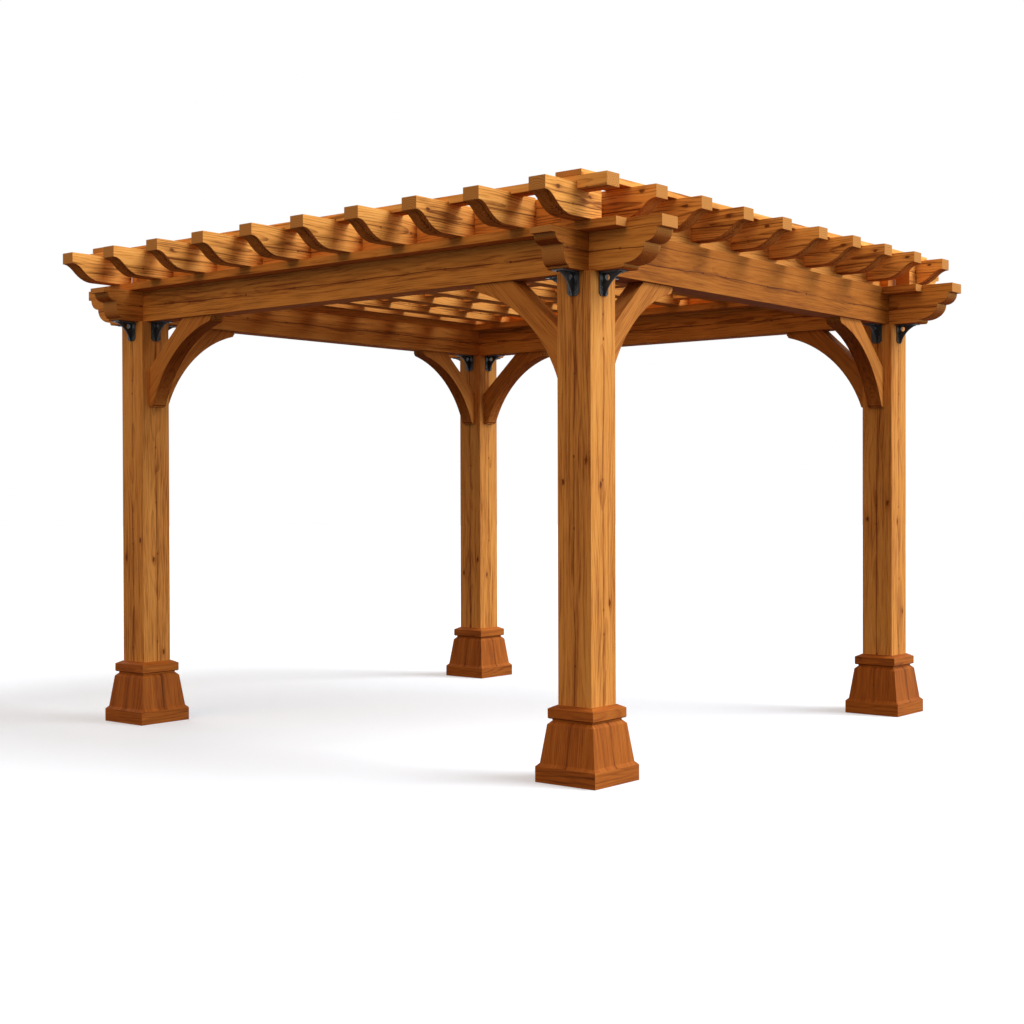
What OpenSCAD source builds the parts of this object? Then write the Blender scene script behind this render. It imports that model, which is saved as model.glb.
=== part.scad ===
// Wooden pergola: four posts, half-lapped beams with stepped tails, curved
// knee braces and an egg-crate roof of half-lapped rafters with scrolled tails.
// Millimetres, +Z up, origin at ground level in the middle of the plan. The
// front is -Y and the left is -X. Cross timbers run along X, long ones along Y.

/* [Plan] */
// Distance between post centres along X
post_span_x = 2890; // [2400:10:4000]
// Distance between post centres along Y
post_span_y = 3110; // [2400:10:4000]
// Side of a square post
post_w = 184; // [140:1:240]
// Height from the ground to the underside of the beams
clear_h = 2245; // [1900:5:2800]

/* [Beams] */
// Height of a beam
beam_h = 210; // [180:1:260]
// Thickness of a beam
beam_t = 120; // [90:1:150]
// Overhang of the front and back beams past the post centres
beam_reach_x = 325; // [300:5:420]
// Overhang of the side beams past the post centres
beam_reach_y = 445; // [330:5:520]
// Height of the square nose at a side beam's end
side_nose = 43; // [30:1:60]
// Length of the square nose at a side beam's end
side_nose_len = 42; // [25:1:60]
// Length of the upper round in a side beam's tail
side_upper_round = 62; // [45:1:75]
// Length of the lower round in a side beam's tail
side_lower_round = 86; // [60:1:100]
// Height of the square nose at an end beam's end, under the ledgers' level
end_nose = 30; // [20:1:40]
// Length of the square nose at an end beam's end
end_nose_len = 37; // [25:1:45]
// Length of the upper round in an end beam's tail
end_upper_round = 38; // [28:1:45]
// Length of the lower round in an end beam's tail
end_lower_round = 36; // [28:1:45]
// Step between the two rounds of a tail
tail_step = 9; // [6:1:12]

/* [Ledgers] */
// Width of the ledgers along both faces of the side beams
ledger_w = 80; // [50:1:95]
// Thickness of a ledger
ledger_t = 40; // [30:1:60]
// Reach of the ledgers past the end beams' outer faces
ledger_reach = 204; // [100:1:240]

/* [Rafters] */
// Number of rafters in each direction
rafter_count = 10; // [7:1:11]
// Width of a rafter
rafter_w = 90; // [60:1:110]
// Height of a cross rafter
cross_h = 145; // [135:1:180]
// Height of a long rafter
long_h = 137; // [125:1:160]
// Height of the long rafters' tops above the cross rafters' tops
long_rise = 27; // [12:1:35]
// Height of the square nose at a rafter's end
rafter_nose = 60; // [50:1:75]
// Length of the scroll behind a rafter's nose
scroll_len = 180; // [120:5:200]
// Distance of the outer long rafters outside the post line
long_out = 195; // [170:5:260]
// Distance of the outer cross rafters outside the post line
cross_out = 85; // [60:5:150]
// Overhang of the cross rafters past the outer long rafters' centres
cross_reach = 260; // [240:5:340]
// Overhang of the long rafters past the outer cross rafters' centres
long_reach = 205; // [200:5:340]
// Depth to which the outer long rafters are housed over the cross rafters
housing = 9; // [6:1:14]
// Height of the rims that stand on the beams
rim_h = 138; // [120:1:145]
// Distance of the end rims in from the end beams' outer faces
end_rim_in = 65; // [0:5:80]
// Play on each side of a lap
lap_play = 1; // [0.5:0.5:3]

/* [Edge boards] */
// Width of an edge board
board_w = 140; // [90:1:160]
// Thickness of an edge board
board_t = 27; // [20:1:45]

/* [Knee braces] */
// Length of a brace along the post and along the beam
brace_leg = 550; // [450:5:700]
// Thickness of a brace
brace_t = 90; // [50:1:110]
// Distance from the post to where the brace's upper edge meets the beam
brace_top = 290; // [220:5:330]
// Side of the square nib at each end of a brace
brace_nib = 26; // [15:1:40]
// Radius of the bead beside a nib
brace_bead = 14; // [8:1:20]
// Distance of the hollow edge's centre past the brace's ends
brace_hollow = 100; // [60:5:160]

/* [Post bases] */
// Reach of the plinth outside the post
plinth_out = 73; // [60:1:110]
// Height of the plinth's upright sides
plinth_h = 70; // [40:1:120]
// Reach of the skirt's top outside the post
skirt_out = 35; // [30:1:50]
// Height of the skirt
skirt_h = 270; // [200:5:400]
// Reach of the collar outside the post
collar_out = 33; // [28:1:50]
// Height of the collar
collar_h = 70; // [50:1:110]
// Width of the bevels on a base
base_bevel = 15; // [8:1:18]
// Play round a post inside its base
base_play = 0.5; // [0.5:0.5:3]

/* [Brackets] */
// Reach of a bracket along the beam
bracket_reach = 115; // [90:1:140]
// Height of a bracket down the post
bracket_drop = 106; // [90:1:140]
// Width of a bracket
bracket_w = 64; // [50:1:80]
// Thickness of a bracket's plates
bracket_t = 6; // [4:0.5:10]
// Width of the hole in a bracket's web
bracket_hole = 26; // [10:1:30]
// Distance of that hole's centre from the post and from the beam
bracket_eye = 26; // [20:1:32]
// Distance of the web's hollow edge's centre past the legs' ends
bracket_hollow = 40; // [20:1:80]

/* [Hidden] */
$fn = 48;
CORNERS = [["front_left", -1, -1], ["front_right", 1, -1], ["back_left", -1, 1], ["back_right", 1, 1]];

// Outer faces of the beams
side_face = (post_span_x + beam_t) / 2;
end_face = (post_span_y + beam_t) / 2;
// Centres of the rims over the beams
side_rim = side_face - rafter_w / 2;
end_rim = end_face - end_rim_in - rafter_w / 2;
// Centres of the outer rafters, and half the length of each kind
long_edge = post_span_x / 2 + long_out;
cross_edge = post_span_y / 2 + cross_out;
cross_half = long_edge + cross_reach;
long_half = cross_edge + long_reach;
// Levels of the roof, and the level where crossing timbers meet
beam_top = clear_h + beam_h;
ledger_z = beam_top - ledger_t;
cross_top = beam_top + cross_h;
long_top = cross_top + long_rise;
lap_z = (cross_top + long_top - long_h) / 2;
// How far a cut runs past the solid that it cuts
over = 1;

// The place of rafter i, counted from 1
function cross_at(i) = cross_edge * (2 * (i - 1) / (rafter_count - 1) - 1);
function long_at(i) = long_edge * (2 * (i - 1) / (rafter_count - 1) - 1);
inner_rafters = [2:rafter_count - 1];
outer_rafters = [1, rafter_count];

// Points of a quarter round from angle a0 to a1
function quarter(cx, cy, rx, ry, a0, a1, n = 8) =
    [for (k = [0:n]) let (a = a0 + (a1 - a0) * k / n) [cx + rx * cos(a), cy + ry * sin(a)]];

// Underside of a beam's tail from its end inwards: a nose, two rounds with a
// step between them and a slight rise to the flat underside; x is the distance
// from the end, y the height, drop the height of the nose's underside
function beam_tail(drop, nose_len, upper_round, lower_round) =
    let (fillet = 4, rise_len = 40, upper = 0.4 * drop, lower = 0.5 * drop,
         x1 = nose_len, x2 = x1 + upper_round + tail_step, x3 = x2 + lower_round)
    concat([[0, beam_h], [0, drop]],
           quarter(x1, drop - fillet - upper, upper_round, upper, 90, 0),
           quarter(x2, fillet, lower_round, lower, 90, 0),
           [[x3 + rise_len, 0]]);
side_tail = beam_tail(beam_h - side_nose, side_nose_len, side_upper_round, side_lower_round);
end_tail = beam_tail(beam_h - ledger_t - end_nose, end_nose_len, end_upper_round, end_lower_round);

// The scroll's fall at a share t of its length: a round, then a longer hollow
function scroll(t) =
    let (turn = 0.33, fall = 0.38)
    t < turn ? fall * pow(t / turn, 1.8) : 1 - (1 - fall) * pow((1 - t) / (1 - turn), 2.2);

// Underside of a rafter's tail: a square nose, then the scroll
function rafter_tail(height) =
    let (drop = height - rafter_nose, nose_len = 8, n = 14)
    concat([[0, height], [0, drop]],
           [for (k = [0:n]) [nose_len + scroll_len * k / n, drop * (1 - scroll(k / n))]]);

// A long timber along X with the given tail at both ends
module tailed_timber(half_len, height, thick, tail) {
    left = [for (p = tail) [p[0] - half_len, p[1]]];
    right = [for (k = [len(tail) - 1:-1:0]) [half_len - tail[k][0], tail[k][1]]];
    translate([0, thick / 2, 0])
        rotate([90, 0, 0])
            linear_extrude(height = thick)
                polygon(concat(left, right));
}

// A box centred on x and y that stands on z
module block(x, y, z, size) {
    translate([x - size[0] / 2, y - size[1] / 2, z]) cube(size);
}

// A square block with sloping sides, cut from two crossed profiles of half
// width and height
module square_taper(profile) {
    outline = concat(profile, [for (k = [len(profile) - 1:-1:0]) [-profile[k][0], profile[k][1]]]);
    reach = 2 * max([for (p = profile) p[0]]) + 2 * over;
    intersection() {
        translate([0, reach / 2, 0]) rotate([90, 0, 0]) linear_extrude(height = reach) polygon(outline);
        translate([-reach / 2, 0, 0]) rotate([90, 0, 90]) linear_extrude(height = reach) polygon(outline);
    }
}

module at_corner(sx, sy) {
    translate([sx * post_span_x / 2, sy * post_span_y / 2, 0]) children();
}

module post(sx, sy) {
    color("peru") at_corner(sx, sy) block(0, 0, 0, [post_w, post_w, clear_h]);
}

module post_hole() {
    hole = post_w + 2 * base_play;
    block(0, 0, -over, [hole, hole, skirt_h + collar_h + 2 * over]);
}

module base(sx, sy) {
    half = post_w / 2;
    color("sandybrown") at_corner(sx, sy) difference() {
        square_taper([
            [half + plinth_out, 0],
            [half + plinth_out, plinth_h],
            [half + plinth_out - base_bevel, plinth_h + base_bevel],
            [half + skirt_out, skirt_h - base_bevel],
            [half + skirt_out - base_bevel, skirt_h]]);
        post_hole();
    }
}

// The collar has a narrow neck below, which leaves a groove over the skirt
module collar(sx, sy) {
    half = post_w / 2;
    neck_h = 10;
    edge = 4;
    color("burlywood") at_corner(sx, sy) difference() {
        translate([0, 0, skirt_h]) square_taper([
            [half + collar_out - base_bevel, 0],
            [half + collar_out - base_bevel, neck_h],
            [half + collar_out - edge, neck_h],
            [half + collar_out, neck_h + edge],
            [half + collar_out, collar_h - base_bevel],
            [half + edge, collar_h]]);
        post_hole();
    }
}

// The beams of the two directions halve over each other at the posts
module side_beam(sx) {
    lap = beam_t + 2 * lap_play;
    color("chocolate") difference() {
        translate([sx * post_span_x / 2, 0, clear_h]) rotate([0, 0, 90])
            tailed_timber(post_span_y / 2 + beam_reach_y, beam_h, beam_t, side_tail);
        for (sy = [-1, 1]) at_corner(sx, sy)
            block(0, 0, clear_h + beam_h / 2, [2 * beam_t, lap, beam_h]);
    }
}

// An end beam is halved from below at the posts. It is let in from above for the
// inner ledgers, and its tails stay below the outer ones
module end_beam(sy) {
    lap = beam_t + 2 * lap_play;
    let_in = ledger_w + lap_play;
    color("sienna") difference() {
        translate([0, sy * post_span_y / 2, clear_h])
            tailed_timber(post_span_x / 2 + beam_reach_x, beam_h, beam_t, end_tail);
        for (sx = [-1, 1]) at_corner(sx, sy) {
            block(0, 0, clear_h - beam_h / 2, [lap, 2 * beam_t, beam_h]);
            block(-sx * (beam_t + let_in) / 2, 0, ledger_z, [let_in, 2 * beam_t, 2 * ledger_t]);
            block(sx * (beam_t / 2 + beam_reach_x), 0, ledger_z, [2 * beam_reach_x, 2 * beam_t, 2 * ledger_t]);
        }
    }
}

// Two boards flat along a side beam's top edges, which the cross rafters rest on
module ledgers(sx) {
    color("peru") for (side = [-1, 1])
        block(sx * post_span_x / 2 + side * (beam_t + ledger_w) / 2, 0, ledger_z,
            [ledger_w, 2 * (end_face + ledger_reach), ledger_t]);
}

// Brace in its own plane: x runs out from the post's face, y up to the beam
module brace_shape() {
    c = brace_leg + brace_hollow;
    near = brace_nib + brace_bead;
    bead = [for (k = [0:4]) let (a = 90 * k / 4)
        [brace_leg - near + brace_bead * cos(a), -brace_nib - brace_bead * sin(a)]];
    r = norm([brace_hollow + near, c - near]);
    a0 = atan2(c - near, brace_hollow + near);
    hollow = [for (k = [1:15]) let (a = a0 + (90 - 2 * a0) * k / 16) [c - r * cos(a), r * sin(a) - c]];
    polygon(concat(
        [[0, -brace_top], [brace_top, 0], [brace_leg, 0], [brace_leg, -brace_nib]],
        bead,
        hollow,
        [for (k = [4:-1:0]) [-bead[k][1], -bead[k][0]]],
        [[brace_nib, -brace_leg], [0, -brace_leg]]));
}

module brace(sx, sy, along_y) {
    turn = along_y ? (sy < 0 ? 90 : -90) : (sx < 0 ? 0 : 180);
    color("tan") at_corner(sx, sy)
        rotate([0, 0, turn]) translate([post_w / 2, brace_t / 2, clear_h])
            rotate([90, 0, 0]) linear_extrude(height = brace_t) brace_shape();
}

// One bracket against the post's +X side, under the beam: a tapered plate on
// the post, a plate under the beam and a hollow-edged web with a round hole
module bracket() {
    taper = bracket_w / 5;
    half = bracket_w / 2;
    below = bracket_drop + bracket_hollow;
    translate([post_w / 2, 0, clear_h]) {
        rotate([90, 0, 90]) linear_extrude(height = bracket_t)
            polygon([[-half, 0], [half, 0], [half, taper - bracket_drop], [half - taper, -bracket_drop],
                [taper - half, -bracket_drop], [-half, taper - bracket_drop]]);
        block(bracket_reach / 2, 0, -bracket_t, [bracket_reach, bracket_w, bracket_t]);
        translate([0, bracket_t / 2, 0]) rotate([90, 0, 0]) linear_extrude(height = bracket_t) difference() {
            translate([0, -bracket_drop]) square([bracket_reach, bracket_drop]);
            translate([bracket_reach + bracket_hollow, -below])
                circle(r = norm([bracket_hollow, below - bracket_t]), $fn = 96);
            translate([bracket_eye, -bracket_eye]) circle(d = bracket_hole, $fn = 32);
        }
    }
}

module brackets(sx, sy) {
    color("dimgray") at_corner(sx, sy) for (turn = [0:90:270]) rotate([0, 0, turn]) bracket();
}

// Cuts a cross timber from above where a long one crosses it
module upper_lap(x, y) {
    block(x, y, lap_z, [rafter_w + 2 * lap_play, 2 * rafter_w, cross_h]);
}

// Cuts a long timber from below where a cross one crosses it
module lower_lap(x, y) {
    block(x, y, lap_z - cross_h, [2 * rafter_w, rafter_w + 2 * lap_play, cross_h]);
}

// The rims stand on the beams, close the roof's edge between the rafters and
// are halved over the rafters as these are over each other
module side_rim(sx) {
    x = sx * side_rim;
    color("peru") difference() {
        block(x, 0, beam_top, [rafter_w, 2 * cross_edge - rafter_w, rim_h]);
        for (i = inner_rafters) lower_lap(x, cross_at(i));
        for (sy = [-1, 1]) lower_lap(x, sy * end_rim);
    }
}

module end_rim(sy) {
    y = sy * end_rim;
    color("sandybrown") difference() {
        block(0, y, beam_top, [2 * side_face, rafter_w, rim_h]);
        for (i = inner_rafters) upper_lap(long_at(i), y);
        for (sx = [-1, 1]) upper_lap(sx * side_rim, y);
    }
}

// The outer cross rafters are tails alone, from the side beams outwards
module cross_rafter(i) {
    y = cross_at(i);
    outer = i == 1 || i == rafter_count;
    color("goldenrod") difference() {
        translate([0, y, beam_top]) tailed_timber(cross_half, cross_h, rafter_w, rafter_tail(cross_h));
        if (outer) {
            block(0, y, beam_top - over, [2 * side_face, 2 * rafter_w, cross_h + 2 * over]);
            upper_lap(long_edge, y);
        }
        else {
            for (k = inner_rafters) upper_lap(long_at(k), y);
            for (sx = [-1, 1]) upper_lap(sx * side_rim, y);
        }
    }
}

module long_rafter(i) {
    x = long_at(i);
    color("darkgoldenrod") difference() {
        translate([x, 0, long_top - long_h]) rotate([0, 0, 90])
            tailed_timber(long_half, long_h, rafter_w, rafter_tail(long_h));
        for (k = inner_rafters) lower_lap(x, cross_at(k));
        for (sy = [-1, 1]) lower_lap(x, sy * end_rim);
    }
}

// An outer long rafter is thin between its ends, where it is housed over the
// cross rafters; the right one keeps full scrolled ends
module outer_long_rafter(i) {
    x = long_at(i);
    full = i == rafter_count;
    height = full ? long_h : rafter_nose;
    strip_h = long_rise + housing;
    thin = full ? end_face - end_rim_in : cross_edge + rafter_w / 2 + lap_play;
    square_end = [[0, height], [0, 0]];
    color("darkgoldenrod") difference() {
        translate([x, 0, long_top - height]) rotate([0, 0, 90])
            tailed_timber(long_half, height, rafter_w, full ? rafter_tail(height) : square_end);
        block(x, 0, long_top - strip_h - long_h, [2 * rafter_w, 2 * thin, long_h]);
        for (k = full ? inner_rafters : [1:rafter_count])
            block(x, cross_at(k), cross_top - long_h, [2 * rafter_w, rafter_w + 2 * lap_play, long_h]);
        if (full) for (k = outer_rafters) lower_lap(x, cross_at(k));
    }
}

module edge_board(sy) {
    color("wheat") block(0, sy * cross_edge, long_top, [2 * long_edge + rafter_w, board_w, board_t]);
}

for (c = CORNERS) {
    post(c[1], c[2]);
    base(c[1], c[2]);
    collar(c[1], c[2]);
    brace(c[1], c[2], true);
    brace(c[1], c[2], false);
    brackets(c[1], c[2]);
}
side_beam(-1);  // left_beam
side_beam(1);  // right_beam
end_beam(-1);  // front_beam
end_beam(1);  // back_beam
ledgers(-1);  // left_ledgers
ledgers(1);  // right_ledgers
side_rim(-1);  // left_rim
side_rim(1);  // right_rim
end_rim(-1);  // front_rim
end_rim(1);  // back_rim
for (i = [1:rafter_count]) {
    cross_rafter(i);
}
for (i = inner_rafters) {
    long_rafter(i);
}
for (i = outer_rafters) {
    outer_long_rafter(i);
}
edge_board(-1);  // front_edge_board
edge_board(1);  // back_edge_board
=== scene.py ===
# Timber pergola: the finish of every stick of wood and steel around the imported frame.
# Everything is in metres, +Z up, in the frame's own place.
import math
import random

import bmesh
import bpy
from mathutils import Matrix, Vector


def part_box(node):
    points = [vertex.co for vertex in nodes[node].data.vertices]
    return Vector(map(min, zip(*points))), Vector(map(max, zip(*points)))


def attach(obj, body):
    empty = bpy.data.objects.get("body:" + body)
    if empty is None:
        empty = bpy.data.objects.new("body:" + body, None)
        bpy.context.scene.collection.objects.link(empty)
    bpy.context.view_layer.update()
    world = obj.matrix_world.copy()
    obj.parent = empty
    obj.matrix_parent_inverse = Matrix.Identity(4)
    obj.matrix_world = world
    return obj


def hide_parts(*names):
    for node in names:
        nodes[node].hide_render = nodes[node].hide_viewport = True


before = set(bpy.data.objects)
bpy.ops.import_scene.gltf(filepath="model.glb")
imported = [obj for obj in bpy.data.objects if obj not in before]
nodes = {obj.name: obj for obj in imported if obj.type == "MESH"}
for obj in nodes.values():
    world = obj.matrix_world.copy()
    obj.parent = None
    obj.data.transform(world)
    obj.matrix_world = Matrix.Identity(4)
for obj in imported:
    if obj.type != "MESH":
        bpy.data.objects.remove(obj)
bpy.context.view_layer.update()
# The same draws on every run
random.seed(7)

MM = 0.001
X, Y, Z = (Vector(v) for v in ((1, 0, 0), (0, 1, 0), (0, 0, 1)))

# Names of the four corners, with the side of the plan that each is on
CORNERS = {"front_left": (-1, -1), "front_right": (1, -1), "back_left": (-1, 1), "back_right": (1, 1)}

# Camera: where the photograph was taken from, how the camera was turned, and its lens
CAMERA_AT = Vector((-7.1212, -5.7977, 1.2669))
CAMERA_YAW = math.radians(50.55)
CAMERA_PITCH = math.radians(-0.594)
CAMERA_ROLL = math.radians(-0.162)
LENS_MM = 56.23
SENSOR_MM = 36.0
FARTHEST_SEEN = 200.0


def place_camera():
    forward = Vector((
        math.sin(CAMERA_YAW) * math.cos(CAMERA_PITCH),
        math.cos(CAMERA_YAW) * math.cos(CAMERA_PITCH),
        math.sin(CAMERA_PITCH),
    ))
    level = Vector((math.cos(CAMERA_YAW), -math.sin(CAMERA_YAW), 0.0))
    upright = level.cross(forward)
    right = math.cos(CAMERA_ROLL) * level + math.sin(CAMERA_ROLL) * upright
    up = math.cos(CAMERA_ROLL) * upright - math.sin(CAMERA_ROLL) * level
    data = bpy.data.cameras.new("camera")
    data.lens = LENS_MM
    data.sensor_width = SENSOR_MM
    data.clip_end = FARTHEST_SEEN
    camera = bpy.data.objects.new("camera", data)
    turn = Matrix((right, up, -forward)).transposed()
    camera.matrix_world = Matrix.Translation(CAMERA_AT) @ turn.to_4x4()
    bpy.context.scene.collection.objects.link(camera)
    bpy.context.scene.camera = camera


# Node helper and colours

# Settings that many nodes share
ADD = {"operation": "ADD"}
SUBTRACT = {"operation": "SUBTRACT"}
MULTIPLY = {"operation": "MULTIPLY"}
MULTIPLY_ADD = {"operation": "MULTIPLY_ADD"}
MAXIMUM = {"operation": "MAXIMUM"}
ABSOLUTE = {"operation": "ABSOLUTE"}
LENGTH = {"operation": "LENGTH"}
SMOOTH = {"interpolation_type": "SMOOTHSTEP"}
COVER = {"data_type": "RGBA"}
TINT = {"data_type": "RGBA", "blend_type": "MULTIPLY"}


def linear(colour):
    """A hex sRGB colour such as "c8874b" as linear RGBA."""
    parts = [int(colour[k:k + 2], 16) / 255 for k in (0, 2, 4)]
    return (*[c / 12.92 if c <= 0.04045 else ((c + 0.055) / 1.055) ** 2.4 for c in parts], 1.0)


def add(tree, kind, settings=None, feeds=None):
    """Adds a node with its settings; feeds maps its inputs to values or to other nodes' outputs."""
    made = tree.nodes.new(kind)
    for name, value in (settings or {}).items():
        setattr(made, name, value)
    for name, value in (feeds or {}).items():
        if isinstance(value, bpy.types.NodeSocket):
            tree.links.new(value, made.inputs[name])
        else:
            made.inputs[name].default_value = value
    return made.outputs[0] if made.outputs else made


def new_material(name):
    material = bpy.data.materials.new(name)
    material.use_nodes = True
    material.node_tree.nodes.clear()
    return material, material.node_tree


def colour_ramp(ramp, stops):
    """Gives a colour ramp its stops: (place, sRGB hex)."""
    elements = ramp.node.color_ramp.elements
    while len(elements) < len(stops):
        elements.new(0.5)
    for element, (place, colour) in zip(elements, stops):
        element.position = place
        element.color = linear(colour)
    return ramp


# Stained softwood

# Sawn cedar or fir has pale early wood and thin brown late wood, so that its faces
# show lines along the timber, arched where the saw passed near the heart. The real
# rings are 2 to 4 mm apart; here they are 9 mm, so that they show from 9 m away.
RING_WIDTH = 9 * MM
# Where in a ring the late wood starts and is at its darkest, and how far rings bend
LATE_WOOD = (0.45, 0.95)
RING_BEND = 85 * MM
# Streaks of darker wood along a face, and the fibres between them
STREAK_WIDTH = 17 * MM
FIBRE_WIDTH = 5 * MM
# How many lumps of each mottling lie in a metre along the timber, across its face and into it
BENDS = (1.1, 5.0, 5.0)
STREAKS = (3.2, 1 / STREAK_WIDTH, 1 / STREAK_WIDTH)
FIBRES = (11.0, 1 / FIBRE_WIDTH, 1 / FIBRE_WIDTH)
BANDS = (0.8, 7.0, 7.0)
KNOT_RAGS = (70.0, 110.0, 110.0)
CRACK_BENDS = (2.4, 0.0, 0.0)
CRACK_BREAKS = (4.1, 0.0, 0.0)
# How much streaks, bands, fibres and the wood round a knot darken a face, the tone it starts from,
# the tones that show as pale and as dark, and how far the rings' share moves those two
STREAK_SHARE, BAND_SHARE, FIBRE_SHARE, HALO_SHARE = 0.95, 0.5, 0.42, 0.4
LOWEST_TONE = -0.22
PALE_TONE, DARK_TONE = 0.32, 1.06
TONE_FOR_FIGURE = 0.45
# A drying crack runs along the middle of a face. The real one is 1 to 2 mm wide; it
# is drawn wider for the same reason as the rings. It has a darker core, as a share of
# its width, and wanders to and fro.
CHECK_WIDTH = 3.2 * MM
CHECK_CORE = 0.25
CHECK_WANDER = 30 * MM
# Where the mottling lets the crack open, from closed to wide open
CHECK_OPENING = (0.34, 0.52)
# Darker heartwood on each side of it
HEART_WIDTH = 22 * MM
# Small dark knots lie along that crack, about this far apart. Each has a width as a share of its
# length, a radius across the grain, and a dark core as a share of that.
PIN_KNOT_STEP = 420 * MM
PIN_KNOT_WIDTH = 0.6
PIN_KNOT_SIZE = 7 * MM
PIN_KNOT_CORE = 0.35
# The joint between two boards of a beam: its edge and its core as shares of a crack's width, and how
# dark it is beside a crack
SEAM_EDGE, SEAM_CORE, SEAM_SHARE = 0.8, 0.2, 0.6
# Large knots: how much longer than wide, how ragged, and where their dark core starts
KNOT_LENGTH = 2.0
KNOT_FRAY = 9 * MM
KNOT_CORE = 0.55
# What lies deep in a crack, and how much of it shows
CRACK_SHADE = "5a3418"
CRACK_DEPTH = 0.55
# End grain's two colours, and the painted shade laid over the undersides as a darker tint
SAWN_PALE, SAWN_BROWN = "cf8d46", "ad6f31"
UNDERSIDE_SHADE = "cda690"
# Relief of the fibres, its strength, how much deeper cracks and higher rings are, and how rough brushed
# faces, fibres and sawn undersides are
RELIEF = 0.6 * MM
RELIEF_STRENGTH = 0.55
CRACK_RELIEF, RING_RELIEF = -2.5, 0.4
BRUSHED_ROUGHNESS, FIBRE_ROUGHNESS, SAWN_ROUGHNESS = 0.55, 0.25, 0.35
SATIN_SHEEN = 0.12


def mottled_wood(tree, place, lumps, seed, detail, roughness=0.5):
    """How the wood is mottled at a place in the timber, with that many lumps in a metre each way."""
    at = add(tree, "ShaderNodeVectorMath", MULTIPLY_ADD, {0: place, 1: lumps, 2: seed})
    return add(tree, "ShaderNodeTexNoise",
               feeds={"Vector": at, "Scale": 1.0, "Detail": detail, "Roughness": roughness})


def bend_round_knots(tree, grain, seed, along, across):
    """The grain flows round each of a face's two knots as water does round a pile. Gives the place
    across the face after that bend, the knots' dark cores, and the wood close round them."""
    rags = mottled_wood(tree, grain, KNOT_RAGS, seed, 1.0)
    cores, halo = 0.0, 0.0
    for name in ("knot_low", "knot_high"):
        knot = add(tree, "ShaderNodeAttribute", {"attribute_name": name}).node.outputs["Vector"]
        knot_along, knot_across, knot_size = add(tree, "ShaderNodeSeparateXYZ", feeds={0: knot}).node.outputs
        lead = add(tree, "ShaderNodeMath", SUBTRACT, {0: along, 1: knot_along})
        lead = add(tree, "ShaderNodeMath", MULTIPLY, {0: lead, 1: 1 / KNOT_LENGTH})
        side = add(tree, "ShaderNodeMath", SUBTRACT, {0: across, 1: knot_across})
        reach = add(tree, "ShaderNodeCombineXYZ", feeds={0: lead, 1: side})
        reach = add(tree, "ShaderNodeVectorMath", LENGTH, {0: reach}).node.outputs["Value"]
        reach = add(tree, "ShaderNodeMath", MULTIPLY_ADD, {0: rags, 1: KNOT_FRAY, 2: reach})
        reach = add(tree, "ShaderNodeMath", SUBTRACT, {0: reach, 1: KNOT_FRAY / 2})
        far = add(tree, "ShaderNodeMath", MAXIMUM, {0: reach, 1: knot_size})
        share = add(tree, "ShaderNodeMath", {"operation": "DIVIDE"}, {0: knot_size, 1: far})
        push = add(tree, "ShaderNodeMath", MULTIPLY, {0: share, 1: share})
        push = add(tree, "ShaderNodeMath", MULTIPLY, {0: push, 1: side})
        across = add(tree, "ShaderNodeMath", SUBTRACT, {0: across, 1: push})
        halo = add(tree, "ShaderNodeMath", MAXIMUM, {0: share, 1: halo})
        core = add(tree, "ShaderNodeMapRange", SMOOTH,
                   {"Value": share, "From Min": KNOT_CORE, "From Max": 1.0})
        cores = add(tree, "ShaderNodeMath", MAXIMUM, {0: core, 1: cores})
    return across, cores, halo


def growth_rings(tree, body, seed, across, depth):
    """Rings round the heart, which lies near the middle of the timber: 0 in early wood, 1 in late wood."""
    bend = mottled_wood(tree, body, BENDS, seed, 2.0)
    radius = add(tree, "ShaderNodeCombineXYZ", feeds={0: across, 1: depth})
    radius = add(tree, "ShaderNodeVectorMath", LENGTH, {0: radius}).node.outputs["Value"]
    radius = add(tree, "ShaderNodeMath", MULTIPLY_ADD, {0: bend, 1: RING_BEND, 2: radius})
    ring = add(tree, "ShaderNodeMath", {"operation": "DIVIDE"}, {0: radius, 1: RING_WIDTH})
    ring = add(tree, "ShaderNodeMath", {"operation": "FRACT"}, {0: ring})
    starts, darkest = LATE_WOOD
    return add(tree, "ShaderNodeMapRange", SMOOTH,
               {"Value": ring, "From Min": starts, "From Max": darkest})


def distance_to_crack(tree, grain, seed, across, check_at):
    """How far a place is from the drying crack, which wanders a little as it runs along the face."""
    bend = mottled_wood(tree, grain, CRACK_BENDS, seed, 3.0)
    bend = add(tree, "ShaderNodeMath", MULTIPLY_ADD, {0: bend, 1: CHECK_WANDER, 2: -CHECK_WANDER / 2})
    crack_at = add(tree, "ShaderNodeMath", ADD, {0: bend, 1: check_at})
    away = add(tree, "ShaderNodeMath", SUBTRACT, {0: across, 1: crack_at})
    return add(tree, "ShaderNodeMath", ABSOLUTE, {0: away})


def drying_crack(tree, grain, seed, from_crack):
    """The crack itself, which comes and goes."""
    closed, wide = CHECK_OPENING
    opening = mottled_wood(tree, grain, CRACK_BREAKS, seed, 2.0)
    opening = add(tree, "ShaderNodeMapRange", SMOOTH,
                  {"Value": opening, "From Min": closed, "From Max": wide})
    crack = add(tree, "ShaderNodeMapRange", SMOOTH,
                {"Value": from_crack, "From Min": CHECK_WIDTH, "From Max": CHECK_WIDTH * CHECK_CORE})
    return add(tree, "ShaderNodeMath", MULTIPLY, {0: crack, 1: opening})


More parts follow.
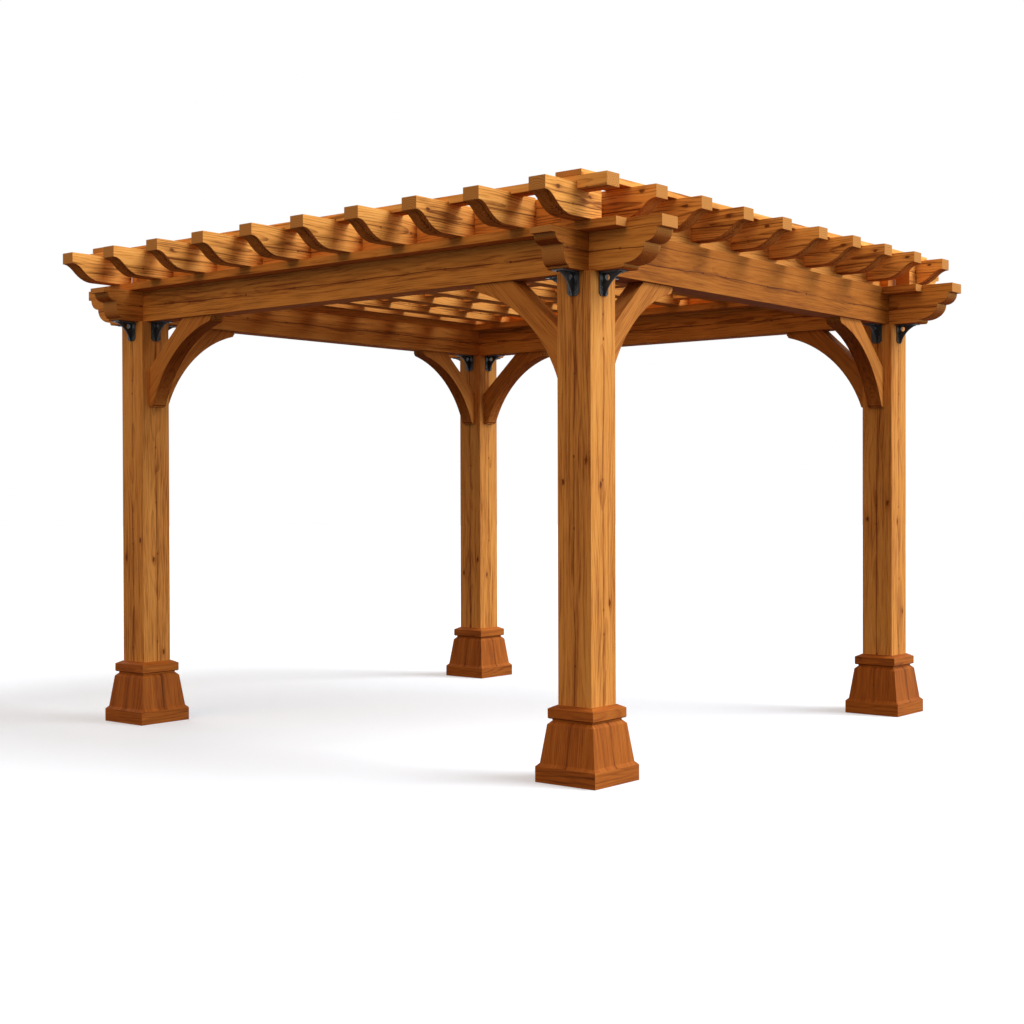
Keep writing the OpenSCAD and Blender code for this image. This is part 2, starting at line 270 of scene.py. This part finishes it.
def pin_knots(tree, seed, along, from_crack):
    """Small knots on the crack, at uneven distances."""
    seed_x = add(tree, "ShaderNodeSeparateXYZ", feeds={0: seed})
    at = add(tree, "ShaderNodeMath", MULTIPLY_ADD, {0: along, 1: 1 / PIN_KNOT_STEP, 2: seed_x})
    pin = add(tree, "ShaderNodeTexVoronoi", {"voronoi_dimensions": "1D"}, {"W": at, "Scale": 1.0})
    pin = add(tree, "ShaderNodeMath", MULTIPLY, {0: pin, 1: PIN_KNOT_STEP * PIN_KNOT_WIDTH})
    pin = add(tree, "ShaderNodeCombineXYZ", feeds={0: pin, 1: from_crack})
    pin = add(tree, "ShaderNodeVectorMath", LENGTH, {0: pin}).node.outputs["Value"]
    return add(tree, "ShaderNodeMapRange", SMOOTH,
               {"Value": pin, "From Min": PIN_KNOT_SIZE, "From Max": PIN_KNOT_SIZE * PIN_KNOT_CORE})


def board_seam(tree, across, seam_at):
    """The fine dark line where two boards of a beam meet."""
    seam = add(tree, "ShaderNodeMath", SUBTRACT, {0: across, 1: seam_at})
    seam = add(tree, "ShaderNodeMath", ABSOLUTE, {0: seam})
    seam = add(tree, "ShaderNodeMapRange", SMOOTH,
               {"Value": seam, "From Min": CHECK_WIDTH * SEAM_EDGE, "From Max": CHECK_WIDTH * SEAM_CORE})
    return add(tree, "ShaderNodeMath", MULTIPLY, {0: seam, 1: SEAM_SHARE})


def stained_timber(name, pale, brown, dark, crack=0.8, figure=0.13, heart=0.12):
    """A penetrating stain on sawn softwood: the grain shows through, with a low satin sheen. Crack is
    how dark cracks and knots are, figure how far the rings darken a face, and heart how much darker the
    wood is along the middle of a face."""
    material, tree = new_material(name)
    grain, seed, marks = (
        add(tree, "ShaderNodeAttribute", {"attribute_name": written}).node.outputs["Vector"]
        for written in ("grain", "seed", "marks"))
    along, across, depth = add(tree, "ShaderNodeSeparateXYZ", feeds={0: grain}).node.outputs
    check_at, seam_at, end_grain = add(tree, "ShaderNodeSeparateXYZ", feeds={0: marks}).node.outputs

    across, knots, halo = bend_round_knots(tree, grain, seed, along, across)
    body = add(tree, "ShaderNodeCombineXYZ", feeds={0: along, 1: across, 2: depth})
    ring = growth_rings(tree, body, seed, across, depth)
    streak = mottled_wood(tree, body, STREAKS, seed, 4.0, 0.62)
    fibre = mottled_wood(tree, body, FIBRES, seed, 2.0)
    band = mottled_wood(tree, body, BANDS, seed, 1.0)
    from_crack = distance_to_crack(tree, grain, seed, across, check_at)
    heartwood = add(tree, "ShaderNodeMapRange", SMOOTH,
                    {"Value": from_crack, "From Min": HEART_WIDTH, "From Max": 0.0})

    # Tone from pale to dark wood
    tone = LOWEST_TONE
    for layer, share in ((streak, STREAK_SHARE), (band, BAND_SHARE), (fibre, FIBRE_SHARE), (ring, figure),
                         (halo, HALO_SHARE), (heartwood, heart)):
        tone = add(tree, "ShaderNodeMath", MULTIPLY_ADD, {0: layer, 1: share, 2: tone})
    for_figure = TONE_FOR_FIGURE * figure
    tone = add(tree, "ShaderNodeMapRange", feeds={
        "Value": tone, "From Min": PALE_TONE + for_figure, "From Max": DARK_TONE + for_figure})
    wood = colour_ramp(add(tree, "ShaderNodeValToRGB", feeds={0: tone}),
                       [(0.0, pale), (0.5, brown), (1.0, dark)])

    # Cracks and knots, which end grain doesn't show
    gap = drying_crack(tree, grain, seed, from_crack)
    for mark in (pin_knots(tree, seed, along, from_crack), board_seam(tree, across, seam_at), knots):
        gap = add(tree, "ShaderNodeMath", MAXIMUM, {0: gap, 1: mark})
    side_grain = add(tree, "ShaderNodeMath", SUBTRACT, {0: 1.0, 1: end_grain})
    for share in (crack, side_grain):
        gap = add(tree, "ShaderNodeMath", MULTIPLY, {0: gap, 1: share})
    deep = add(tree, "ShaderNodeMath", MULTIPLY, {0: gap, 1: CRACK_DEPTH})

    # End grain: rings in full view, on wood that takes a little more stain. Undersides are tinted darker as
    # painted shade, and are rougher than the brushed faces.
    sawn = colour_ramp(add(tree, "ShaderNodeValToRGB", feeds={0: ring}),
                       [(0.0, SAWN_PALE), (1.0, SAWN_BROWN)])
    brushed_unshaded = add(tree, "ShaderNodeAttribute", {"attribute_name": "brushed_unshaded"}).node.outputs["Fac"]
    rough_shaded_underside = add(tree, "ShaderNodeMath", SUBTRACT, {0: 1.0, 1: brushed_unshaded})
    for how, share, colour in ((COVER, gap, linear(dark)), (TINT, deep, linear(CRACK_SHADE)),
                               (COVER, end_grain, sawn), (TINT, rough_shaded_underside, linear(UNDERSIDE_SHADE))):
        wood = add(tree, "ShaderNodeMix", how, {"Factor": share, 6: wood, 7: colour}).node.outputs[2]

    height, rough = fibre, BRUSHED_ROUGHNESS
    for layer, share in ((gap, CRACK_RELIEF), (ring, RING_RELIEF)):
        height = add(tree, "ShaderNodeMath", MULTIPLY_ADD, {0: layer, 1: share, 2: height})
    for layer, share in ((fibre, FIBRE_ROUGHNESS), (rough_shaded_underside, SAWN_ROUGHNESS)):
        rough = add(tree, "ShaderNodeMath", MULTIPLY_ADD, {0: layer, 1: share, 2: rough})
    bump = add(tree, "ShaderNodeBump",
               feeds={"Height": height, "Strength": RELIEF_STRENGTH, "Distance": RELIEF})
    surface = add(tree, "ShaderNodeBsdfPrincipled", feeds={
        "Base Color": wood, "Roughness": rough, "Normal": bump, "Specular IOR Level": SATIN_SHEEN})
    add(tree, "ShaderNodeOutputMaterial", feeds={"Surface": surface})
    return material


# Powder coat: how far apart the bumps of its orange peel are and how high, how many patches of dust
# lie in a metre, and the colours and the roughness of clean and dusty coat
PEEL_STEP = 2.5 * MM
PEEL_HEIGHT = 0.1 * MM
PEEL_STRENGTH = 0.25
DUST_PATCHES = 22.0
COAT_STOPS = [(0.35, "1c1c1e"), (0.75, "2a2928")]
COAT_ROUGHNESS = (0.3, 0.48)
COAT_IOR = 1.5


def powder_coated_steel():
    """Plate steel baked with black powder: near black and even, with a soft highlight and orange peel."""
    material, tree = new_material("powder_coated_steel")
    place = add(tree, "ShaderNodeTexCoord").node.outputs["Object"]
    peel = add(tree, "ShaderNodeTexNoise", feeds={"Vector": place, "Scale": 1 / PEEL_STEP, "Detail": 1.0})
    bump = add(tree, "ShaderNodeBump",
               feeds={"Height": peel, "Strength": PEEL_STRENGTH, "Distance": PEEL_HEIGHT})
    dust = add(tree, "ShaderNodeTexNoise", feeds={"Vector": place, "Scale": DUST_PATCHES, "Detail": 3.0})
    tint = colour_ramp(add(tree, "ShaderNodeValToRGB", feeds={0: dust}), COAT_STOPS)
    clean, dusty = COAT_ROUGHNESS
    rough = add(tree, "ShaderNodeMapRange", feeds={"Value": dust, "To Min": clean, "To Max": dusty})
    surface = add(tree, "ShaderNodeBsdfPrincipled",
                  feeds={"Base Color": tint, "Roughness": rough, "Normal": bump, "IOR": COAT_IOR})
    add(tree, "ShaderNodeOutputMaterial", feeds={"Surface": surface})
    return material


POST_WOOD = stained_timber("stained_cedar_post", "e8a653", "d58d41", "8c4a18")
BEAM_WOOD = stained_timber("stained_fir_beam", "eaa44e", "d48a3b", "7f3f12")
# The front beam takes a darker copy of the beams' wood: painted shade, for the shadow that the rafter tails
# overhead cast on its face.
SHADED_FRONT_BEAM_WOOD = stained_timber("stained_fir_front_beam", "bf782e", "a9631f", "6a330e")
RAFTER_WOOD = stained_timber("stained_cedar_rafter", "ffc46c", "eea54f", "884e1f", crack=0.7, figure=0.2)
BRACE_WOOD = stained_timber("stained_cedar_brace", "d48e42", "be7630", "7b3e10", crack=0.5)
BASE_WOOD = stained_timber("stained_cedar_base", "bd7029", "a2571b", "64300c",
                           crack=0.45, figure=0.17, heart=0.18)
BLACK_STEEL = powder_coated_steel()

# Which wood and which slot name a node takes, by its whole name or else by the last word of
# it. Rafters, rims and edge boards aren't listed, and take the rafters' finish.
FINISHES = {
    "post": (POST_WOOD, "post_timber"),
    "base": (BASE_WOOD, "base_timber"),
    "collar": (BASE_WOOD, "base_timber"),
    "brace": (BRACE_WOOD, "brace_timber"),
    "beam": (BEAM_WOOD, "beam_timber"),
    "front_beam": (SHADED_FRONT_BEAM_WOOD, "beam_timber"),
    "ledgers": (BEAM_WOOD, "beam_timber"),
}
RAFTER_FINISH = (RAFTER_WOOD, "rafter_timber")


# How the grain lies

# A place that no timber reaches, for a crack, a seam or a knot that a face doesn't have
NOWHERE = 9.0
NO_KNOT = (NOWHERE, 0, 1e-6)
# How far out in the mottling a timber may lie, and how much further on each next face of one reads it
SEED_REACH = 40
FACE_STEP = 5
POST_SIDE_STEP = 7
BASE_SIDE_STEP = 11
# A face that looks down as steeply as this was left rough, and is tinted darker as painted shade
DOWNWARD = 0.7
# Large knots that show near the tails: how far from the timber's end and below its top, in mm
CROSS_KNOTS = {1: (86, 38), 3: (77, 51), 8: (97, 50)}
LONG_KNOTS = {2: (76, 25), 3: (91, 39), 4: (81, 35), 5: (89, 37), 7: (58, 47), 8: (57, 36), 9: (44, 29),
              10: (81, 30)}
KNOT_SIZE = 5 * MM
# The knot near the other tail, in shares of the first one's distance from the middle, height and size
FAR_KNOT = (0.985, 0.6, 0.8)
# Knots beside the crack on a post's faces that look along X or Y: how far up and from the middle, in
# mm, and how much lower they lie on each next post
POST_KNOTS = {"x": ((1420, -66), (1325, 60)), "y": ((1312, -21), (790, 45))}
POST_KNOT_STEP = 200 * MM
# Where the crack runs on the beams' faces, and where their top board is joined, from the middle up
BEAM_CHECK = -22 * MM
BEAM_SEAM = 65 * MM
# Where it may run on a rafter's faces
RAFTER_CHECK = (-35 * MM, 0.0)


def islands(bm):
    """The separate solids of a bmesh, each as a list of faces, always in the same order."""
    left = dict.fromkeys(bm.faces)
    found = []
    while left:
        todo = [left.popitem()[0]]
        group = []
        while todo:
            face = todo.pop()
            group.append(face)
            near = dict.fromkeys(f for e in face.edges for f in e.link_faces if f in left)
            for neighbour in near:
                del left[neighbour]
            todo.extend(near)
        found.append(group)
    return found


def write_grain(bm, lay):
    """Writes what the wood materials read at each corner of each face: its place in the timber (along
    the grain, across the face, in from the face), its random seed, its knots, where its crack and seam
    run, and how far it was brushed, which is also how far it is kept out of the painted shade on undersides."""
    written = ("grain", "seed", "knot_low", "knot_high", "marks")
    layers = {name: bm.loops.layers.float_vector.new(name) for name in written}
    brushed_unshaded = bm.loops.layers.float.new("brushed_unshaded")
    for group in islands(bm):
        corners = [v.co for f in group for v in f.verts]
        low, high = (Vector([pick(c[k] for c in corners) for k in range(3)]) for pick in (min, max))
        seed = Vector([random.uniform(-SEED_REACH, SEED_REACH) for _ in range(3)])
        for face in group:
            spot = lay(face, low, high)
            for loop in face.loops:
                away = loop.vert.co - (low + high) / 2
                loop[layers["grain"]] = [away.dot(spot[k]) for k in ("along", "across", "inward")]
                loop[layers["seed"]] = seed + spot.get("shift", Vector())
                for name in ("knot_low", "knot_high"):
                    loop[layers[name]] = spot.get(name, NO_KNOT)
                loop[layers["marks"]] = spot["marks"]
                loop[brushed_unshaded] = min(1.0, max(0.0, 1.0 + face.normal.z / DOWNWARD))


def sawn_along(axis, flat, upright, check=0.0, seam=NOWHERE, knot=None):
    """How the grain lies in a timber sawn along axis: flat and upright are the section's two directions.
    Marks are where the crack and the seam run, and 1 on end grain. Knot is one of those near the tails."""
    def lay(face, low, high):
        endwise, sideways, upwards = (abs(face.normal.dot(v)) for v in (axis, flat, upright))
        if endwise > max(sideways, upwards):
            return {"along": axis, "across": flat, "inward": upright, "marks": (NOWHERE, NOWHERE, 1)}
        if sideways < upwards:
            step = 1 if face.normal.dot(upright) > 0 else 2
            top_check = check if seam == NOWHERE else NOWHERE
            return {"along": axis, "across": flat, "inward": upright, "shift": step * FACE_STEP * Z,
                    "marks": (top_check, NOWHERE, 0)}
        step = 3 if face.normal.dot(flat) > 0 else 4
        spot = {"along": axis, "across": upright, "inward": flat, "shift": step * FACE_STEP * Z,
                "marks": (check, seam, 0)}
        if knot:
            from_end, below = knot
            reach = (high - low).dot(axis) / 2 - from_end * MM
            level = (high - low).dot(upright) / 2 - below * MM
            spot["knot_low"] = (-reach, level, KNOT_SIZE)
            spot["knot_high"] = [size * share for size, share in zip((reach, level, KNOT_SIZE), FAR_KNOT)]
        return spot
    return lay


def post_grain(lower):
    """How the grain lies in a post: as in any upright timber, with two knots on each face."""
    sawn = sawn_along(Z, X, Y)

    def lay(face, low, high):
        spot = sawn(face, low, high)
        looks_along = "x" if abs(face.normal.x) > abs(face.normal.y) else "y"
        for name, (height, beside) in zip(("knot_low", "knot_high"), POST_KNOTS[looks_along]):
            spot[name] = (height * MM - lower - ((low + high) / 2).z, beside * MM, KNOT_SIZE)
        side = POST_SIDE_STEP if looks_along == "x" else 0
        spot["shift"] = spot.get("shift", Vector()) + side * X
        return spot
    return lay


def boxed_base(top_of_plinth):
    """How the grain lies in a post's base: level on the plinth and the collar, upright on the skirt."""
    def lay(face, low, high):
        outward, level = (X, Y) if abs(face.normal.x) > abs(face.normal.y) else (Y, X)
        step = 1 if face.normal.dot(outward) > 0 else 2
        side = step * FACE_STEP + (BASE_SIDE_STEP if outward is X else 0)
        if face.calc_center_median().z > top_of_plinth:
            spot = {"along": Z, "across": level, "inward": Vector(), "marks": (0.0, NOWHERE, 0)}
        else:
            spot = {"along": level, "across": Z, "inward": outward, "marks": (NOWHERE, NOWHERE, 0)}
        spot["shift"] = Vector((side, 0, side))
        return spot
    return lay


# Timbers

# Points this near are one, faces this near to one plane are one, and edges this sharp stay hard
WELD = 0.01 * MM
FLAT = math.radians(0.5)
SHARP = math.radians(35)
# How far the edges of each kind of piece are eased, and the round that this leaves
EASE = 2.5 * MM
POST_EASE = 4 * MM
BRACE_EASE = 3 * MM
BASE_EASE = 1.5 * MM
COLLAR_EASE = 1 * MM
STEEL_EASE = 0.8 * MM
EASE_STEPS = 2
EASE_PROFILE = 0.6


def own_mesh(node):
    """The node's own shape as a bmesh, with flat faces in one piece."""
    bm = bmesh.new()
    bm.from_mesh(nodes[node].data)
    bmesh.ops.remove_doubles(bm, verts=bm.verts, dist=WELD)
    bmesh.ops.dissolve_limit(bm, angle_limit=FLAT, verts=bm.verts, edges=bm.edges)
    return bm


def ease_edges(bm, ease):
    """Planes the outer edges to a small round, and keeps the inner ones sharp."""
    outer = [e for e in bm.edges if len(e.link_faces) == 2 and e.calc_face_angle_signed() > SHARP]
    bmesh.ops.bevel(bm, geom=outer, offset=ease, offset_type="OFFSET", segments=EASE_STEPS,
                    profile=EASE_PROFILE, affect="EDGES", clamp_overlap=True)
    for edge in bm.edges:
        edge.smooth = len(edge.link_faces) == 2 and edge.calc_face_angle() < SHARP


def put(bm, name, material, slot, *replaced):
    """Turns a bmesh into a piece of the frame's one body, in the stead of the nodes named last."""
    mesh = bpy.data.meshes.new(name)
    bm.to_mesh(mesh)
    bm.free()
    mesh.materials.append(material)
    mesh.shade_smooth()
    piece = bpy.data.objects.new(name, mesh)
    bpy.context.scene.collection.objects.link(piece)
    even = piece.modifiers.new("even_shading", "WEIGHTED_NORMAL")
    even.keep_sharp = True
    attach(piece, "root")
    if replaced:
        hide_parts(*replaced)


def timber(node, lay, ease=EASE, bm=None):
    """One timber in the stead of its node, from the node's own shape or from a bmesh of its own."""
    by_last_word = FINISHES.get(node.rsplit("_", 1)[-1], RAFTER_FINISH)
    material, slot = FINISHES.get(node, by_last_word)
    bm = bm or own_mesh(node)
    ease_edges(bm, ease)
    write_grain(bm, lay)
    put(bm, "timber_" + node, material, slot, node)


def saw_out(bm, points, place, sides, open_end=False):
    """Adds a solid whose two faces are the same outline, at two places to the side. Place turns a point
    of the outline and a side into a spot. An open end has no face between the last two points."""
    near, far = ([bm.verts.new(place(*point, side)) for point in points] for side in sides)
    bm.faces.new(near)
    bm.faces.new(far)
    for k in range(len(points) - 1 if open_end else len(points)):
        bm.faces.new((near[k - 1], near[k], far[k], far[k - 1]))


# The tails' noses, upper and lower rounds, each with its width and height, on the beams along
# the sides and on the ones across the ends, whose tails are lower by the ledger over them
SIDE_TAIL = (24 * MM, 52 * MM), (60 * MM, 58 * MM), (108 * MM, 82 * MM)
END_TAIL = (28 * MM, 28 * MM), (50 * MM, 42 * MM), (34 * MM, 88 * MM)
# The shelf after each round, the nib's width as a share of its height, how much of the beam behind
# the tail is made again with it, and how many steps a round has
TAIL_SHELF = 4 * MM
TAIL_NIB = 0.7
TAIL_ROOT = 40 * MM
TAIL_STEPS = 10


def ovolo(x, z, width, height):
    """Points of a round that starts straight down at (x, z) and turns in under the timber."""
    turns = [math.pi / 2 * k / TAIL_STEPS for k in range(TAIL_STEPS + 1)]
    return [(x + width * (1 - math.cos(t)), z - height * math.sin(t)) for t in turns]


def beam_tail(tall, nose, upper, lower):
    """Outline of a beam's tail, as distances from its end and heights over its underside: a nose, two
    rounds with a small shelf after each, and a nib."""
    nose_foot = tall - nose[1]
    second = nose[0] + upper[0] + TAIL_SHELF
    third = second + lower[0] + TAIL_SHELF
    nib = nose_foot - upper[1] - lower[1]
    return ([(0, tall), (0, nose_foot)] + ovolo(nose[0], nose_foot, *upper)
            + ovolo(second, nose_foot - upper[1], *lower) + ovolo(third, nib, nib * TAIL_NIB, nib))


def recut_tails(bm, axis, outline):
    """Cuts off both tails of a beam and makes them again to an outline, open where it meets the rest."""
    across = axis.cross(Z)
    cut = outline[-1][0] + TAIL_ROOT
    points = outline + [(cut, 0.0), (cut, outline[0][1])]
    for outward in (axis, -axis):
        end = max(v.co.dot(outward) for v in bm.verts)
        bmesh.ops.bisect_plane(bm, geom=bm.verts[:] + bm.edges[:] + bm.faces[:], dist=WELD,
                               plane_co=outward * (end - cut), plane_no=outward, clear_outer=True)
        rim = [v.co for v in bm.verts if v.co.dot(outward) > end - cut - WELD]
        foot = min(c.z for c in rim)
        sides = [pick(c.dot(across) for c in rim) for pick in (min, max)]

        def place(away, up, side):
            return outward * (end - away) + across * side + Z * (foot + up)

        saw_out(bm, points, place, sides, open_end=True)
    bmesh.ops.remove_doubles(bm, verts=bm.verts, dist=10 * WELD)
    bmesh.ops.recalc_face_normals(bm, faces=bm.faces)


# Knee brace: its legs on the beam and on the post, the nib, bead and toe at each foot, where its
# straight back meets beam and post, and the radius of its hollow
BRACE_LEGS = (520 * MM, 472 * MM)
BRACE_BACK = (290 * MM, 262 * MM)
BRACE_NIB = 22 * MM
BRACE_BEAD = 14 * MM
BRACE_TOE = 6 * MM
BRACE_RADIUS = 678 * MM
HOLLOW_STEPS = 20
BEAD_STEPS = 4


def brace_outline():
    """A brace in its own plane, as distances from the post and below the beam."""
    beam_leg, post_leg = BRACE_LEGS
    beam_back, post_back = BRACE_BACK
    inset = BRACE_NIB + BRACE_BEAD
    start = Vector((beam_leg - BRACE_BEAD, inset))
    stop = Vector((inset, post_leg - BRACE_BEAD))
    half = (stop - start) / 2
    square = Vector((-half.y, half.x)).normalized()
    if square.x < 0:
        square = -square
    centre = start + half + square * math.sqrt(BRACE_RADIUS ** 2 - half.length_squared)
    first = math.atan2(start.y - centre.y, start.x - centre.x)
    last = math.atan2(stop.y - centre.y, stop.x - centre.x)
    sweep = (last - first) % -math.tau
    turns = [first + sweep * k / HOLLOW_STEPS for k in range(1, HOLLOW_STEPS)]
    hollow = [(centre.x + BRACE_RADIUS * math.cos(t), centre.y + BRACE_RADIUS * math.sin(t)) for t in turns]
    bead = [(BRACE_BEAD * math.cos(t), BRACE_BEAD * math.sin(t))
            for t in (math.pi / 2 * k / BEAD_STEPS for k in range(BEAD_STEPS + 1))]
    beam_bead = [(start.x + out, BRACE_NIB + down) for out, down in bead]
    post_bead = [(BRACE_NIB + out, stop.y + down) for down, out in reversed(bead)]
    beam_toe, post_toe = beam_leg + BRACE_TOE, post_leg + BRACE_TOE
    return ([(0, post_back), (beam_back, 0), (beam_toe, 0), (beam_toe, BRACE_NIB)] + beam_bead
            + hollow + post_bead + [(BRACE_NIB, post_toe), (0, post_toe)])


def make_brace(node, out, across):
    """A brace against the post's face that looks along out."""
    low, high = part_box(node)
    thick = abs((high - low).dot(across))
    corner = (low + high) / 2 - abs((high - low).dot(out)) / 2 * out
    corner.z = high.z

    def place(away, down, side):
        return corner + away * out - down * Z + side * across

    bm = bmesh.new()
    saw_out(bm, brace_outline(), place, (-thick / 2, thick / 2))
    bmesh.ops.recalc_face_normals(bm, faces=bm.faces)
    rising = (Z + out).normalized()
    timber(node, sawn_along(rising, across, rising.cross(across), NOWHERE), BRACE_EASE, bm)


# The plinth's share of a base's height
PLINTH_SHARE = 0.27


def make_posts():
    for k, (corner, (sx, sy)) in enumerate(CORNERS.items()):
        timber(corner + "_post", post_grain(k * POST_KNOT_STEP), POST_EASE)
        low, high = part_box(corner + "_base")
        plinth_top = low.z + PLINTH_SHARE * (high.z - low.z)
        timber(corner + "_base", boxed_base(plinth_top), BASE_EASE)
        timber(corner + "_collar", boxed_base(NOWHERE), COLLAR_EASE)
        make_brace(corner + "_side_brace", -sy * Y, X)
        make_brace(corner + "_front_brace", -sx * X, Y)


def make_beams():
    ledger_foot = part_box("left_ledgers")[0].z
    for side, axis, flat, tail in (("left", Y, X, SIDE_TAIL), ("right", Y, X, SIDE_TAIL),
                                   ("front", X, Y, END_TAIL), ("back", X, Y, END_TAIL)):
        low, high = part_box(side + "_beam")
        tail_top = ledger_foot if axis is X else high.z
        bm = own_mesh(side + "_beam")
        recut_tails(bm, axis, beam_tail(tail_top - low.z, *tail))
        timber(side + "_beam", sawn_along(axis, flat, Z, BEAM_CHECK, BEAM_SEAM), bm=bm)
    for side in ("left", "right"):
        timber(side + "_ledgers", sawn_along(Y, X, Z, NOWHERE))
        timber(side + "_rim", sawn_along(Y, X, Z, NOWHERE))
    for side in ("front", "back"):
        timber(side + "_rim", sawn_along(X, Y, Z, NOWHERE))
        timber(side + "_edge_board", sawn_along(X, Z, Y, NOWHERE))


RAFTERS = 10


def make_rafters():
    for kind, axis, flat, knots in (("cross", X, Y, CROSS_KNOTS), ("long", Y, X, LONG_KNOTS)):
        for number in range(1, RAFTERS + 1):
            check = random.uniform(*RAFTER_CHECK)
            timber(f"{kind}_rafter_{number}", sawn_along(axis, flat, Z, check, knot=knots.get(number)))


# Brackets and screws

# Where screws lie on a bracket: how far down the post or out along the beam, and to each side
POST_SCREWS = (44 * MM, 68 * MM, 90 * MM)
BEAM_SCREWS = (52 * MM, 92 * MM)
SCREW_ASIDE = 18 * MM
BRACKET_PLATE = 6 * MM
WASHER_RADIUS = 6.8 * MM
# A coach screw's washer, hexagon and chamfer: the radius of its foot and its top, how high it starts
# and how thick it is, as shares of the washer's radius, and its number of sides
SCREW_FORMS = ((1.0, 0.9, 0.0, 0.22, 24), (0.62, 0.62, 0.22, 0.45, 6), (0.62, 0.48, 0.67, 0.1, 6))


def screw(bm, at, out):
    """A coach screw that looks along out: a washer with an eased rim and a chamfered hexagon head."""
    place = Matrix.Translation(at) @ Z.rotation_difference(out).to_matrix().to_4x4()
    for form in SCREW_FORMS:
        foot, top, start, thick = (WASHER_RADIUS * share for share in form[:4])
        middle = Matrix.Translation((0, 0, start + thick / 2))
        shape = bmesh.ops.create_cone(bm, cap_ends=True, segments=form[4], radius1=foot, radius2=top,
                                      depth=thick, matrix=place @ middle)
        for face in {f for v in shape["verts"] for f in v.link_faces}:
            face.smooth = False


def make_brackets():
    for corner in CORNERS:
        node = corner + "_brackets"
        bm = own_mesh(node)
        ease_edges(bm, STEEL_EASE)
        put(bm, "steel_" + node, BLACK_STEEL, "black_steel", node)
        low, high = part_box(corner + "_post")
        middle = (low + high) / 2
        middle.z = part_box(node)[1].z
        bm = bmesh.new()
        for out in (X, -X, Y, -Y):
            foot = middle + (high.x - low.x) / 2 * out
            heads = [(BRACKET_PLATE * out - down * Z, out) for down in POST_SCREWS]
            heads += [(along * out - BRACKET_PLATE * Z, -Z) for along in BEAM_SCREWS]
            for place, facing in heads:
                for aside in (-SCREW_ASIDE, SCREW_ASIDE):
                    screw(bm, foot + place + aside * out.cross(Z), facing)
        put(bm, corner + "_bracket_screws", BLACK_STEEL, "black_steel")


# Studio: a floor that shows white and keeps shadows, a pale dome, and four wide lamps

WHITE = linear("ffffff")
DOME_STRENGTH = 0.3
# The floor's colour and its own glow where it is seen, and how much light it throws back
FLOOR_WHITE = "d8e0ea"
FLOOR_GLOW = 0.33
FLOOR_BOUNCE = (0.1, 0.1, 0.1, 1.0)
FLOOR_RADIUS = 60.0
FLOOR_SIDES = 64
# Lamps: azimuth from -Y towards +X, height over the ground and spread, all in degrees, then strength
# and colour
LAMPS = {
    "key": (30.0, 46.0, 34.0, 2.65, "ffffff"),
    "low": (22.0, 9.0, 30.0, 1.25, "ffffff"),
    "fill": (-85.0, 32.0, 50.0, 0.85, "ffd4a6"),
    "back": (165.0, 28.0, 50.0, 0.9, "fff0e0"),
}


def seen_directly(tree):
    """1 for what the camera sees itself, in gloss or through glass, and 0 for light that bounces on."""
    path = add(tree, "ShaderNodeLightPath").node.outputs
    seen = path["Is Camera Ray"]
    for way in ("Is Glossy Ray", "Is Transmission Ray"):
        seen = add(tree, "ShaderNodeMath", MAXIMUM, {0: seen, 1: path[way]})
    return seen


def make_floor():
    """White card: it shows as white with soft shadows, and throws little light up at the timbers."""
    material, tree = new_material("white_card")
    shown = add(tree, "ShaderNodeBsdfDiffuse", feeds={"Color": linear(FLOOR_WHITE)})
    glow = add(tree, "ShaderNodeEmission", feeds={"Color": WHITE, "Strength": FLOOR_GLOW})
    shown = add(tree, "ShaderNodeAddShader", feeds={0: shown, 1: glow})
    hidden = add(tree, "ShaderNodeBsdfDiffuse", feeds={"Color": FLOOR_BOUNCE})
    surface = add(tree, "ShaderNodeMixShader", feeds={0: seen_directly(tree), 1: hidden, 2: shown})
    add(tree, "ShaderNodeOutputMaterial", feeds={"Surface": surface})
    bm = bmesh.new()
    bmesh.ops.create_circle(bm, cap_ends=True, segments=FLOOR_SIDES, radius=FLOOR_RADIUS)
    mesh = bpy.data.meshes.new("floor")
    bm.to_mesh(mesh)
    bm.free()
    mesh.materials.append(material)
    floor = bpy.data.objects.new("floor", mesh)
    bpy.context.scene.collection.objects.link(floor)


def make_dome():
    """A sky that lights the timbers softly and shows as white."""
    world = bpy.data.worlds.new("studio")
    world.use_nodes = True
    tree = world.node_tree
    tree.nodes.clear()
    white = add(tree, "ShaderNodeBackground", feeds={"Color": WHITE, "Strength": 1.0})
    dome = add(tree, "ShaderNodeBackground", feeds={"Color": WHITE, "Strength": DOME_STRENGTH})
    mixed = add(tree, "ShaderNodeMixShader", feeds={0: seen_directly(tree), 1: dome, 2: white})
    add(tree, "ShaderNodeOutputWorld", feeds={"Surface": mixed})
    bpy.context.scene.world = world


def make_lamp(name, azimuth, height, spread, strength, colour):
    """A far, wide lamp, placed by its azimuth and height."""
    data = bpy.data.lights.new(name, "SUN")
    data.energy = strength
    data.angle = math.radians(spread)
    data.color = linear(colour)[:3]
    lamp = bpy.data.objects.new(name, data)
    azimuth, height = math.radians(azimuth), math.radians(height)
    level = math.cos(height)
    towards = Vector((math.sin(azimuth) * level, -math.cos(azimuth) * level, math.sin(height)))
    lamp.rotation_euler = towards.to_track_quat("Z", "Y").to_euler()
    bpy.context.scene.collection.objects.link(lamp)


place_camera()
make_posts()
make_beams()
make_rafters()
make_brackets()
make_floor()
make_dome()
for name, lamp in LAMPS.items():
    make_lamp(name, *lamp)
bpy.context.scene.view_settings.view_transform = "Standard"
